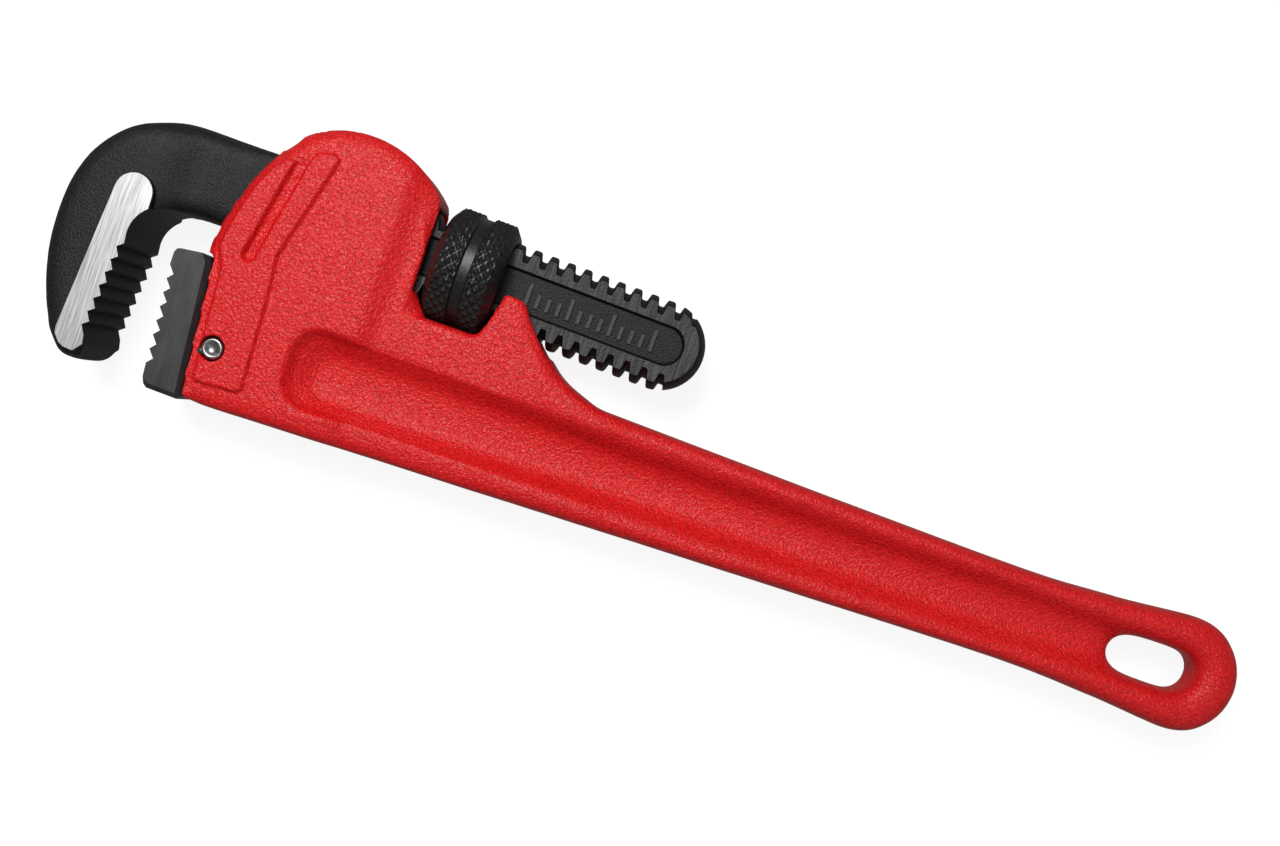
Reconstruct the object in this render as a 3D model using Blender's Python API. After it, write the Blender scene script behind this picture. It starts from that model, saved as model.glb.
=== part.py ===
"""Straight pipe wrench, modelled as the separate pieces it is assembled from.

The wrench lies on its side: +X runs along the handle to its hanging end, +Y to the top of the
housing and +Z out of the upper cheek.  Sizes are millimetres in a design frame whose origin is
the front wall of the nut window (X), the centre line of the handle (Y) and the mid-plane (Z).
The root empty then sets the wrench on Z = 0 with its box centred over the origin.
"""
import math

import bmesh
import bpy
from mathutils import Matrix, Vector

MM = 0.001

# Fits
GAP = 0.35                 # between pieces that touch or are pressed together
RUN = 0.5                  # between a sliding or turning piece and its way

# Hook-jaw shank: a flattened screw whose axis dips towards the handle's end
AXIS_HEIGHT = 34.6         # above the handle's centre line, at the window's front wall
AXIS_TILT = math.radians(1.5)
ROCK_ANGLE = math.radians(3.0)
SHANK_RADIUS = 10.8        # thread crest
SHANK_HALF = 5.9           # half thickness over the two flats
THREAD_PITCH = 25.4 / 6
THREAD_DEPTH = 2.05
THREAD_CREST = 1.6
THREAD_ROOT = 1.2
THREAD_FROM = -13.0        # where the plain shank turns into thread
SHANK_DOME = 58.1          # centre of the round end
PANEL_DEPTH = 0.8
PANEL_HALF = 4.6
PANEL_FROM = -6.0          # centres of the panel's round ends
PANEL_TO = 59.0

# Hook-jaw head
HEAD_HALF = 11.0
HEAD_ROUND = 4.0
NECK_HALF = 7.0
NECK_HALF_HEIGHT = 10.3
NECK_FROM = -59.4
NECK_LENGTH = 24.0
TOOTH_DEPTH = 1.35
HOOK_TEETH = 8
THROAT_RADIUS = 8.5

# Adjusting nut
NUT_RADIUS = 14.4
NUT_LENGTH = 16.4
NUT_FRONT = 1.9
NUT_CHAMFER = 2.0
NUT_CHAMFER_DROP = 2.4
NUT_GROOVE = 2.6
NUT_GROOVE_DEPTH = 0.9

# Handle and housing, one casting
HANDLE_REACH = 199.3       # window's front wall to the centre of the end round
HANDLE_END_RADIUS = 13.2
WAIST_FROM_END = 41.5
WAIST_HALF = 11.15
ROOT_HALF = 13.9           # half height of the beam behind the lug
HOUSING_HALF = 11.2
SHOULDER_HALF = 10.0
TAIL_HALF = 7.3
STEP_FROM = -9.2           # the housing's cheek steps down to the shoulder
STEP_TO = -4.3
CASTING_ROUND = 2.4
WINDOW_ROUND = 0.7
CORNER_STEPS = 3
WEB_HALF = 2.8
PAD_RAISE = 0.4
GROOVE_LENGTH = 26.6
GROOVE_WIDTH = 2.9
GROOVE_LEAN = math.radians(75.5)
GROOVE_PLACE = Vector((-36.0, 31.5))
HOUSING_ROUND = 27.0
HANG_LENGTH = 20.8
HANG_WIDTH = 9.4
HANG_FROM_END = 7.4
LUG_TOP = 31.8
LUG_SLOT_HALF = SHANK_HALF + 0.7
WINDOW_CORNER = 2.3

# Heel jaw and its pin
HEEL_HALF = 10.5
HEEL_TEETH = 8
TENON_HALF = 4.5
TENON_HALF_HEIGHT = 7.0
TENON_LENGTH = 11.0
PIN_RADIUS = 2.7
PIN_PLACE = Vector((-39.1, -2.2))
SEAT_TOP = Vector((-45.9, 18.4))
SEAT_BOTTOM = Vector((-42.8, -13.8))

# Spring set under the shank
LEAF_HALF = 5.2
LEAF_THICK = 0.9
LEAF_DIP = 1.5             # how far the middle of the leaf hangs below the shank
LEAF_FROM = -42.0
LEAF_TO = -6.0
COIL_X = -31.0
COIL_RADIUS = 3.1
COIL_WIRE = 0.6
COIL_HEIGHT = 9.6
COIL_TURNS = 4.5
COIL_CLOSED_TURNS = 1.0    # at each end
COIL_CLOSED_PITCH = 1.98 * COIL_WIRE
RIVET_RADIUS = 1.1
RIVET_HEAD = 1.9
RIVET_HEAD_THICK = 0.6

NUT_REAR = NUT_FRONT + NUT_LENGTH
WINDOW_FLOOR = AXIS_HEIGHT - NUT_RADIUS + 0.1
CHANNEL_HALF = NECK_HALF + RUN
CHANNEL_TOP = SHANK_RADIUS + RUN
WAIST_X = HANDLE_REACH - WAIST_FROM_END
PIVOT = Vector((0.0, AXIS_HEIGHT))


# Outlines ---------------------------------------------------------------------------------------

def arc(centre, radius, start, end, steps):
    """Points of a circular arc, angles in degrees."""
    angles = [math.radians(start + (end - start) * i / steps) for i in range(steps + 1)]
    return [Vector((centre[0] + radius * math.cos(a), centre[1] + radius * math.sin(a)))
            for a in angles]


def rounded(corners, steps=4):
    """A closed outline from (x, y, radius) corners, each rounded by an arc of that radius."""
    loop = []
    for i, (x, y, radius) in enumerate(corners):
        here = Vector((x, y))
        if radius == 0:
            loop.append(here)
            continue
        back = (Vector(corners[i - 1][:2]) - here).normalized()
        ahead = (Vector(corners[(i + 1) % len(corners)][:2]) - here).normalized()
        half = back.angle(ahead) / 2
        centre = here + (back + ahead).normalized() * (radius / math.sin(half))
        first = here + back * (radius / math.tan(half)) - centre
        turn = first.angle_signed(here + ahead * (radius / math.tan(half)) - centre)
        for k in range(steps + 1):
            loop.append(centre + Matrix.Rotation(-turn * k / steps, 2) @ first)
    return loop


def smooth(points, steps=4):
    """A smooth open curve through a few chosen points."""
    points = [Vector(p) for p in points]
    ends = [2 * points[0] - points[1]] + points + [2 * points[-1] - points[-2]]
    curve = []
    for a, b, c, d in zip(ends, ends[1:], ends[2:], ends[3:]):
        for k in range(steps):
            t = k / steps
            curve.append(0.5 * (2 * b + (c - a) * t + (2 * a - 5 * b + 4 * c - d) * t ** 2
                                + (3 * b - a - 3 * c + d) * t ** 3))
    return curve + [points[-1]]


def stadium(centre, length, width, steps=8):
    """A slot with round ends along X."""
    run = (length - width) / 2
    right = arc((centre[0] + run, centre[1]), width / 2, -90, 90, steps)
    left = arc((centre[0] - run, centre[1]), width / 2, 90, 270, steps)
    return right + left


def teeth(start, end, count, depth, lean):
    """Saw-tooth line from the first tip to the last; the teeth cut in to the left of travel."""
    start, end = Vector(start), Vector(end)
    step = (end - start) / (count - 1)
    inward = Vector((-step.y, step.x)).normalized() * depth
    line = []
    for i in range(count - 1):
        line += [start + step * i, start + step * (i + lean) + inward]
    return line + [end]


def in_shank_frame(loop):
    """Design-frame points seen from the tilted shank axis."""
    turn = Matrix.Rotation(AXIS_TILT, 2)
    return [turn @ (Vector(p) - PIVOT) for p in loop]


# Solids -----------------------------------------------------------------------------------------

def make_object(name, bm, parent, smooth_angle=None):
    """Close a bmesh into an object in its parent's frame."""
    bmesh.ops.recalc_face_normals(bm, faces=bm.faces)
    mesh = bpy.data.meshes.new(name)
    bm.to_mesh(mesh)
    bm.free()
    if smooth_angle:
        mesh.shade_smooth()
        mesh.set_sharp_from_angle(angle=math.radians(smooth_angle))
    obj = bpy.data.objects.new(name, mesh)
    bpy.context.scene.collection.objects.link(obj)
    obj.parent = parent
    return obj


def make_cutter(name, bm, parent):
    """A solid that only shapes others and is not a piece of the wrench."""
    obj = make_object(name, bm, parent)
    obj.hide_render = True
    obj.display_type = "WIRE"
    return obj


def combine(obj, other, operation):
    """Cut, join or keep with an exact Boolean; the other solid becomes a hidden guide."""
    other.hide_render = True
    other.display_type = "WIRE"
    step = obj.modifiers.new(other.name, "BOOLEAN")
    step.operation = operation
    step.solver = "EXACT"
    step.object = other


def loft(low_loop, low, high_loop, high):
    """A solid between two outlines of equally many points on two Z levels."""
    bm = bmesh.new()
    below = [bm.verts.new((p[0] * MM, p[1] * MM, low * MM)) for p in low_loop]
    above = [bm.verts.new((p[0] * MM, p[1] * MM, high * MM)) for p in high_loop]
    bm.faces.new(below)
    bm.faces.new(above)
    for i in range(len(below)):
        bm.faces.new((below[i - 1], below[i], above[i], above[i - 1]))
    return bm


def prism(loop, half, to=None):
    """An outline extruded either side of the mid-plane, or from one level to another."""
    low, high = (-half, half) if to is None else (half, to)
    return loft(loop, low, loop, high)


def turned(profile, segments):
    """A body of revolution about X from (x, radius) points that start and end on the axis."""
    bm = bmesh.new()
    verts = [bm.verts.new((x * MM, radius * MM, 0)) for x, radius in profile]
    edges = [bm.edges.new(pair) for pair in zip(verts, verts[1:])]
    bmesh.ops.spin(bm, geom=verts + edges, cent=(0, 0, 0), axis=(1, 0, 0), angle=2 * math.pi,
                   steps=segments, use_merge=True)
    bmesh.ops.remove_doubles(bm, verts=bm.verts, dist=1e-6)
    return bm


def upright(bm, place, axis):
    """Turn a body of revolution from X onto another axis and set it at a design-frame place."""
    bmesh.ops.rotate(bm, verts=bm.verts, cent=(0, 0, 0),
                     matrix=Vector((1, 0, 0)).rotation_difference(Vector(axis)).to_matrix())
    bmesh.ops.translate(bm, verts=bm.verts, vec=Vector((*place, 0)) * MM)
    return bm


def screw(root, crest, root_width, crest_width, start, turns, segments=24):
    """A right-handed single-start screw along +X; its ends are meant to be cut away."""
    flank = (THREAD_PITCH - root_width - crest_width) / 2
    lines = [(root_width / 2, root), (root_width / 2 + flank, crest),
             (root_width / 2 + flank + crest_width, crest), (THREAD_PITCH - root_width / 2, root)]
    bm = bmesh.new()
    last = segments * turns
    helix = []
    for offset, radius in lines:
        row = []
        for k in range(last + 1):
            angle = 2 * math.pi * k / segments
            x = start + offset + THREAD_PITCH * k / segments
            row.append(bm.verts.new((x * MM, radius * math.cos(angle) * MM,
                                     radius * math.sin(angle) * MM)))
        helix.append(row)
    for low, high in zip(helix, helix[1:]):
        for k in range(last):
            bm.faces.new((low[k], low[k + 1], high[k + 1], high[k]))
    for k in range(last - segments):
        bm.faces.new((helix[3][k], helix[3][k + 1], helix[0][k + 1 + segments],
                      helix[0][k + segments]))
    first_rim = helix[0][:segments + 1] + [helix[3][0], helix[2][0], helix[1][0]]
    last_rim = helix[3][last - segments:] + [helix[2][last], helix[1][last], helix[0][last]]
    for rim, x in ((first_rim, start + THREAD_PITCH / 2),
                   (last_rim, start + THREAD_PITCH * (turns + 0.5))):
        hub = bm.verts.new((x * MM, 0, 0))
        for i in range(len(rim)):
            bm.faces.new((hub, rim[i - 1], rim[i]))
    return bm


def paint(obj, colour, roughness, metallic):
    """Give a piece its own plain finish."""
    finish = bpy.data.materials.new(obj.name + "_finish")
    finish.use_nodes = True
    shader = finish.node_tree.nodes["Principled BSDF"]
    shader.inputs["Base Color"].default_value = (*colour, 1)
    shader.inputs["Roughness"].default_value = roughness
    shader.inputs["Metallic"].default_value = metallic
    obj.data.materials.append(finish)


# Pieces -----------------------------------------------------------------------------------------

def casting_outline():
    """Side view of the housing, the open nut window, the lug and the handle beam.

    Gives the closed outline and, within it, how many points belong to the seat, to the outer
    edge up to the window, and to the window with the top of the lug.
    """
    cheek = smooth([(-48.2, SEAT_TOP.y + 0.2), (-48.0, 24.3), (-46.2, 34.5), (-42.1, 44.9),
                    (-37.4, 51.2)], 3)
    crown = arc((-20.8, 57.7 - HOUSING_ROUND), HOUSING_ROUND, 126, 42, 12)
    slope = smooth([(NUT_REAR + 4, LUG_TOP), (NUT_REAR + 9.9, 28.5), (NUT_REAR + 19.6, 18.6),
                    (NUT_REAR + 30.7, ROOT_HALF)], 4)
    top = smooth([(WAIST_X - 50, 12.2), (WAIST_X, WAIST_HALF), (HANDLE_REACH - 22, 11.9),
                  (HANDLE_REACH, HANDLE_END_RADIUS)], 4)[:-1]
    end = arc((HANDLE_REACH, 0), HANDLE_END_RADIUS, 90, -90, 14)
    bottom = smooth([(HANDLE_REACH, -HANDLE_END_RADIUS), (HANDLE_REACH - 18, -12.2),
                     (WAIST_X, -WAIST_HALF), (WAIST_X - 50, -12.3)], 4)[1:]
    heel = rounded([(WAIST_X - 50, -12.3, 0), (-43.4, -15.9, 2.2), (*SEAT_BOTTOM, 0)],
                   CORNER_STEPS)[1:]
    window = rounded([(0, 50, 0), (0, WINDOW_FLOOR, WINDOW_CORNER),
                      (NUT_REAR - 1.1, WINDOW_FLOOR, 1.5), (NUT_REAR + 0.8, LUG_TOP, 1.2),
                      (NUT_REAR + 3, LUG_TOP, 0)], 3)[1:-1]
    outer = cheek + crown + [Vector((0, 46.0))]
    outline = [SEAT_TOP] + outer + window + slope + top + end + bottom + heel
    return outline, len(outer), len(window)


def half_thickness(x):
    """Half the casting's thickness: even over the housing, then a step and a long taper."""
    tail = HANDLE_REACH + HANDLE_END_RADIUS
    profile = [(-100, HOUSING_HALF), (STEP_FROM, HOUSING_HALF), (STEP_TO, SHOULDER_HALF),
               (NUT_REAR + 30.7, SHOULDER_HALF - 0.2), (tail, TAIL_HALF)]
    for (x0, half0), (x1, half1) in zip(profile, profile[1:]):
        if x <= x1 or x1 == tail:
            return half0 + (half1 - half0) * (x - x0) / (x1 - x0)


def rim_edges(bm, count, spans):
    """Edges on both faces of a prism of that many points, along the given spans of them."""
    edges = []
    for first in (i for span in spans for i in span[:-1]):
        for level in (0, count):
            start = bm.verts[first + level]
            end = bm.verts[(first + 1) % count + level]
            edges += [e for e in start.link_edges if e.other_vert(start) is end]
    return edges


def make_casting(root):
    """Handle and housing in one casting: rounded outside, stepped and tapered in thickness."""
    outline, outer_count, window_count = casting_outline()
    bm = prism(outline, HOUSING_HALF)
    bm.verts.ensure_lookup_table()
    count = len(outline)
    window_span = range(outer_count, outer_count + window_count + 2)
    outer_spans = [range(1, outer_count + 1), range(window_span[-1], count - CORNER_STEPS - 1)]
    outer_edges = rim_edges(bm, count, outer_spans)
    window_edges = rim_edges(bm, count, [window_span])
    bmesh.ops.recalc_face_normals(bm, faces=bm.faces)
    bmesh.ops.bevel(bm, geom=outer_edges, offset=CASTING_ROUND * MM, offset_type="OFFSET",
                    segments=3, profile=0.5, affect="EDGES", material=-1)
    bmesh.ops.bevel(bm, geom=[e for e in window_edges if e.is_valid], offset=WINDOW_ROUND * MM,
                    offset_type="OFFSET", segments=1, profile=0.5, affect="EDGES", material=-1)
    for kink in (STEP_FROM, STEP_TO, NUT_REAR + 30.7):
        bmesh.ops.bisect_plane(bm, geom=bm.verts[:] + bm.edges[:] + bm.faces[:], dist=1e-7,
                               plane_co=(kink * MM, 0, 0), plane_no=(1, 0, 0))
    for vert in bm.verts:
        vert.co.z *= half_thickness(vert.co.x / MM) / HOUSING_HALF
    casting = make_object("handle_housing", bm, root)
    shape_cheeks(casting, root)
    cut_shank_ways(casting, root)
    cut_jaw_seat(casting, root)
    paint(casting, (0.62, 0.02, 0.03), 0.32, 0.0)


def shape_cheeks(casting, root):
    """Raised grooved pad on each cheek, sunk web on each side of the beam, and hanging slot."""
    pad = rounded([(-43.2, 15.5, 1), (-45.3, 22, 3), (-42.6, 38, 6), (-37.6, 47.0, 2.4),
                   (-33.2, 45.4, 1.6), (-31.6, 50.4, 3), (-25.0, 49.8, 1.8), (-31.6, 23.0, 6),
                   (-30.2, -9.4, 1.2), (-40.4, -10.4, 1)], 3)
    combine(casting, make_object("pad", prism(pad, HOUSING_HALF + PAD_RAISE), root), "UNION")
    lean = Matrix.Rotation(GROOVE_LEAN, 2)
    groove = [lean @ p + GROOVE_PLACE for p in stadium((0, 0), GROOVE_LENGTH, GROOVE_WIDTH, 5)]
    ring = HANDLE_REACH - HANG_FROM_END + HANG_LENGTH / 2
    half_slot = HANG_WIDTH / 2
    web_top = rounded([(-21.5, 9.6, 6), (-21.5, -8.6, 6), (WAIST_X, -7.6, 40),
                       (ring + 1.2, -half_slot - 1.6, 5), (ring + 1.2, half_slot + 1.6, 5),
                       (WAIST_X, 7.6, 40)], 4)
    web_floor = rounded([(-16, 5.2, 4), (-16, -4.8, 4), (WAIST_X, -4.7, 30),
                         (ring - 0.6, -half_slot + 0.2, 4), (ring - 0.6, half_slot - 0.2, 4),
                         (WAIST_X, 4.7, 30)], 4)
    for side, label in ((1, "upper"), (-1, "lower")):
        bm = prism(groove, side * (HOUSING_HALF - 0.3), side * (HOUSING_HALF + 2))
        combine(casting, make_cutter("groove_" + label, bm, root), "DIFFERENCE")
        grown = [Vector(a) + (Vector(a) - Vector(b)) * 0.4 for a, b in zip(web_top, web_floor)]
        level = SHOULDER_HALF + 0.4 * (SHOULDER_HALF - WEB_HALF)
        bm = loft(web_floor, side * WEB_HALF, grown, side * level)
        combine(casting, make_cutter("web_" + label, bm, root), "DIFFERENCE")

    hang = stadium((HANDLE_REACH - HANG_FROM_END, 0), HANG_LENGTH, HANG_WIDTH)
    combine(casting, make_cutter("hang_slot", prism(hang, 20), root), "DIFFERENCE")


def cut_shank_ways(casting, root):
    """Way for the rocking shank, bed and pocket for its springs, room for the nut, slotted lug."""
    fall = math.tan(AXIS_TILT)
    rock = math.tan(ROCK_ANGLE)
    under = AXIS_HEIGHT - SHANK_RADIUS - RUN
    roof = AXIS_HEIGHT + CHANNEL_TOP / math.cos(AXIS_TILT)
    mouth = -60
    way = [(5, under), (mouth, under - mouth * (fall - rock)), (mouth, roof - mouth * fall),
           (5, roof - 5 * fall)]
    combine(casting, make_cutter("shank_way", prism(way, CHANNEL_HALF), root), "DIFFERENCE")
    depth = SHANK_RADIUS + LEAF_DIP + LEAF_THICK + RUN
    floor = AXIS_HEIGHT - depth
    leaf_way = [(5, floor + 0.5), (LEAF_FROM - 1.5, floor - (LEAF_FROM - 1.5) * (fall - rock)),
                (LEAF_FROM - 1.5, 30), (5, 30)]
    combine(casting, make_cutter("leaf_way", prism(leaf_way, LEAF_HALF + RUN), root), "DIFFERENCE")
    coil_top = leaf_height(COIL_X) - LEAF_THICK
    coil_floor = coil_top - COIL_HEIGHT - 2 * GAP
    bm = turned([(0, 0), (0, COIL_RADIUS + COIL_WIRE + RUN), (14, COIL_RADIUS + COIL_WIRE + RUN),
                 (14, 0)], 20)
    pocket = make_cutter("coil_pocket", upright(bm, (COIL_X, coil_floor), (0, 1, 0)), root)
    combine(casting, pocket, "DIFFERENCE")
    face = NUT_RADIUS - NUT_CHAMFER_DROP + 0.7
    swing = NUT_RADIUS * math.sin(ROCK_ANGLE) + 0.3
    bm = turned([(0, 0), (0, NUT_RADIUS + 0.7), (NUT_REAR - NUT_CHAMFER + swing, NUT_RADIUS + 0.7),
                 (NUT_REAR + swing, face), (NUT_REAR + swing, 0)], 32)
    sweep = make_cutter("nut_room", upright(bm, PIVOT, (1, -fall, 0)), root)
    combine(casting, sweep, "DIFFERENCE")
    slot = [(NUT_FRONT, WINDOW_FLOOR + 1.2), (80, WINDOW_FLOOR + 1.2), (80, 60), (NUT_FRONT, 60)]
    combine(casting, make_cutter("lug_slot", prism(slot, LUG_SLOT_HALF), root), "DIFFERENCE")


def cut_jaw_seat(casting, root):
    """Slot for the heel jaw's tenon and the hole for its pin."""
    inner = PIN_PLACE.x - PIN_RADIUS + TENON_LENGTH + GAP - 2
    high = PIN_PLACE.y + TENON_HALF_HEIGHT + GAP
    low = PIN_PLACE.y - TENON_HALF_HEIGHT - GAP
    tenon_slot = rounded([(-60, low, 0), (inner, low, 1), (inner, high, 1), (-60, high, 0)], 2)
    combine(casting, make_cutter("tenon_slot", prism(tenon_slot, TENON_HALF + GAP), root),
            "DIFFERENCE")
    hole = prism(arc(PIN_PLACE, PIN_RADIUS + GAP, 0, 345, 23), 20)
    combine(casting, make_cutter("pin_hole", hole, root), "DIFFERENCE")


def make_heel_jaw(root):
    """Hardened heel jaw: toothed face, flat back on the housing's seat and a pinned tenon."""
    away = Vector((-1, (SEAT_TOP.x - SEAT_BOTTOM.x) / (SEAT_TOP.y - SEAT_BOTTOM.y)))
    back_top = SEAT_TOP + Vector((-GAP, -0.6))
    back_bottom = SEAT_BOTTOM + Vector((-GAP, 0.4))
    bite = teeth((-55.1, 13.0), (-52.9, -10.3), HEEL_TEETH, TOOTH_DEPTH, 0.62)
    outline = [(-54.9, 16.2), (-53.9, 17.2)] + [back_top + away * 2.6]
    outline += [back_top + away * 0.7 + Vector((0, -0.6)), back_top + Vector((0, -1.6))]
    outline += [back_bottom + Vector((0, 1.2)), back_bottom + away * 1.2, (-51.4, -13.9),
                (-52.4, -12.6)]
    jaw = make_object("heel_jaw", prism(list(reversed(bite)) + outline, HEEL_HALF), root)

    inner = PIN_PLACE.x - PIN_RADIUS + TENON_LENGTH - 2
    low = PIN_PLACE.y - TENON_HALF_HEIGHT
    high = PIN_PLACE.y + TENON_HALF_HEIGHT
    tenon = rounded([(-48, low, 0), (inner, low, 1.5), (inner, high, 1.5), (-48, high, 0)], 2)
    combine(jaw, make_object("tenon", prism(tenon, TENON_HALF), root), "UNION")
    hole = prism(arc(PIN_PLACE, PIN_RADIUS + GAP, 0, 345, 23), 20)
    combine(jaw, make_cutter("heel_pin_hole", hole, root), "DIFFERENCE")
    paint(jaw, (0.08, 0.08, 0.085), 0.38, 0.85)

    dimple = 1.2
    half = HOUSING_HALF - 0.1
    profile = [(-half + 0.4, 0), (-half, dimple), (-half, PIN_RADIUS - 0.3),
               (-half + 0.3, PIN_RADIUS), (half - 0.3, PIN_RADIUS), (half, PIN_RADIUS - 0.3),
               (half, dimple), (half - 0.4, 0)]
    pin = make_object("heel_jaw_pin", upright(turned(profile, 24), PIN_PLACE, (0, 0, 1)), root, 30)
    paint(pin, (0.32, 0.32, 0.33), 0.3, 1.0)


def leaf_height(x):
    """Upper face of the bowed leaf spring: near the shank at its ends, lower in the middle."""
    along = (x - LEAF_FROM) / (LEAF_TO - LEAF_FROM)
    dip = GAP + (LEAF_DIP - GAP) * math.sin(math.pi * along) ** 0.8
    return AXIS_HEIGHT - x * math.tan(AXIS_TILT) - SHANK_RADIUS - dip


def make_springs(root, rock):
    """Bowed leaf under the shank, the rivet through it and the coil that lifts them."""
    count = 12
    places = [LEAF_FROM + (LEAF_TO - LEAF_FROM) * i / count for i in range(count + 1)]
    upper = [Vector((x, leaf_height(x))) - PIVOT for x in places]
    lower = [p - Vector((0, LEAF_THICK)) for p in upper]
    leaf = make_object("leaf_spring", prism(upper + lower[::-1], LEAF_HALF), rock)
    seat = leaf_height(COIL_X)
    bm = turned([(-5, 0), (-5, RIVET_RADIUS + GAP), (5, RIVET_RADIUS + GAP), (5, 0)], 16)
    rivet_place = Vector((COIL_X, seat)) - PIVOT
    combine(leaf, make_cutter("rivet_hole", upright(bm, rivet_place, (0, 1, 0)), rock),
            "DIFFERENCE")
    paint(leaf, (0.18, 0.19, 0.22), 0.3, 1.0)

    top = 0.3
    low = -LEAF_THICK - 2 * COIL_WIRE - 2 * GAP
    profile = [(low - RIVET_HEAD_THICK, 0), (low - RIVET_HEAD_THICK, RIVET_HEAD - 0.2),
               (low, RIVET_HEAD), (low, RIVET_RADIUS), (top, RIVET_RADIUS), (top, RIVET_HEAD),
               (top + RIVET_HEAD_THICK * 0.7, RIVET_HEAD * 0.8), (top + RIVET_HEAD_THICK, 0)]
    bm = upright(turned(profile, 16), rivet_place, (0, 1, 0))
    rivet = make_object("spring_rivet", bm, rock, 30)
    paint(rivet, (0.35, 0.35, 0.36), 0.35, 1.0)

    line = bpy.data.curves.new("coil_spring", "CURVE")
    line.dimensions = "3D"
    line.bevel_depth = COIL_WIRE * MM
    line.bevel_resolution = 2
    line.use_fill_caps = True
    start = seat - LEAF_THICK - GAP - COIL_WIRE
    count = round(COIL_TURNS * 14)
    spline = line.splines.new("POLY")
    spline.points.add(count)
    open_turns = COIL_TURNS - 2 * COIL_CLOSED_TURNS
    open_drop = COIL_HEIGHT - 2 * COIL_WIRE - 4 * COIL_CLOSED_TURNS * COIL_WIRE
    for i, point in enumerate(spline.points):
        turn = COIL_TURNS * i / count
        past_top = min(max(turn - COIL_CLOSED_TURNS, 0), open_turns)
        drop = open_drop * past_top / open_turns + COIL_CLOSED_PITCH * (turn - past_top)
        angle = 2 * math.pi * turn
        point.co = ((COIL_X + COIL_RADIUS * math.cos(angle)) * MM, (start - drop) * MM,
                    COIL_RADIUS * math.sin(angle) * MM, 1)
    coil = bpy.data.objects.new("coil_spring", line)
    bpy.context.scene.collection.objects.link(coil)
    coil.parent = root
    paint(coil, (0.25, 0.26, 0.28), 0.3, 1.0)


def make_nut(shank):
    """Knurled adjusting nut with a thread that fits the shank's with clearance all round."""
    groove_from = (NUT_LENGTH - NUT_GROOVE) / 2 - 0.2
    outer = [(0, 0), (0, NUT_RADIUS - NUT_CHAMFER_DROP), (NUT_CHAMFER, NUT_RADIUS),
             (groove_from, NUT_RADIUS), (groove_from, NUT_RADIUS - NUT_GROOVE_DEPTH),
             (groove_from + NUT_GROOVE, NUT_RADIUS - NUT_GROOVE_DEPTH),
             (groove_from + NUT_GROOVE, NUT_RADIUS), (NUT_LENGTH - NUT_CHAMFER, NUT_RADIUS),
             (NUT_LENGTH, NUT_RADIUS - NUT_CHAMFER_DROP), (NUT_LENGTH, 0)]
    bm = turned([(NUT_FRONT + x, r) for x, r in outer], 32)
    nut = make_object("adjusting_nut", bm, shank, 30)
    flank = (THREAD_PITCH - THREAD_ROOT - THREAD_CREST) / 2
    slope = flank / THREAD_DEPTH
    ease = GAP * math.hypot(1, slope) - GAP * slope
    tip = THREAD_ROOT - 2 * ease
    crest = THREAD_PITCH - tip - 2 * flank
    turns = math.ceil(NUT_LENGTH / THREAD_PITCH) + 3
    phase = math.floor(NUT_FRONT / THREAD_PITCH) - 1
    bore = screw(SHANK_RADIUS - THREAD_DEPTH + GAP, SHANK_RADIUS + GAP, tip, crest,
                 phase * THREAD_PITCH, turns)
    combine(nut, make_cutter("nut_thread", bore, shank), "DIFFERENCE")
    paint(nut, (0.05, 0.05, 0.052), 0.35, 0.8)


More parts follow.
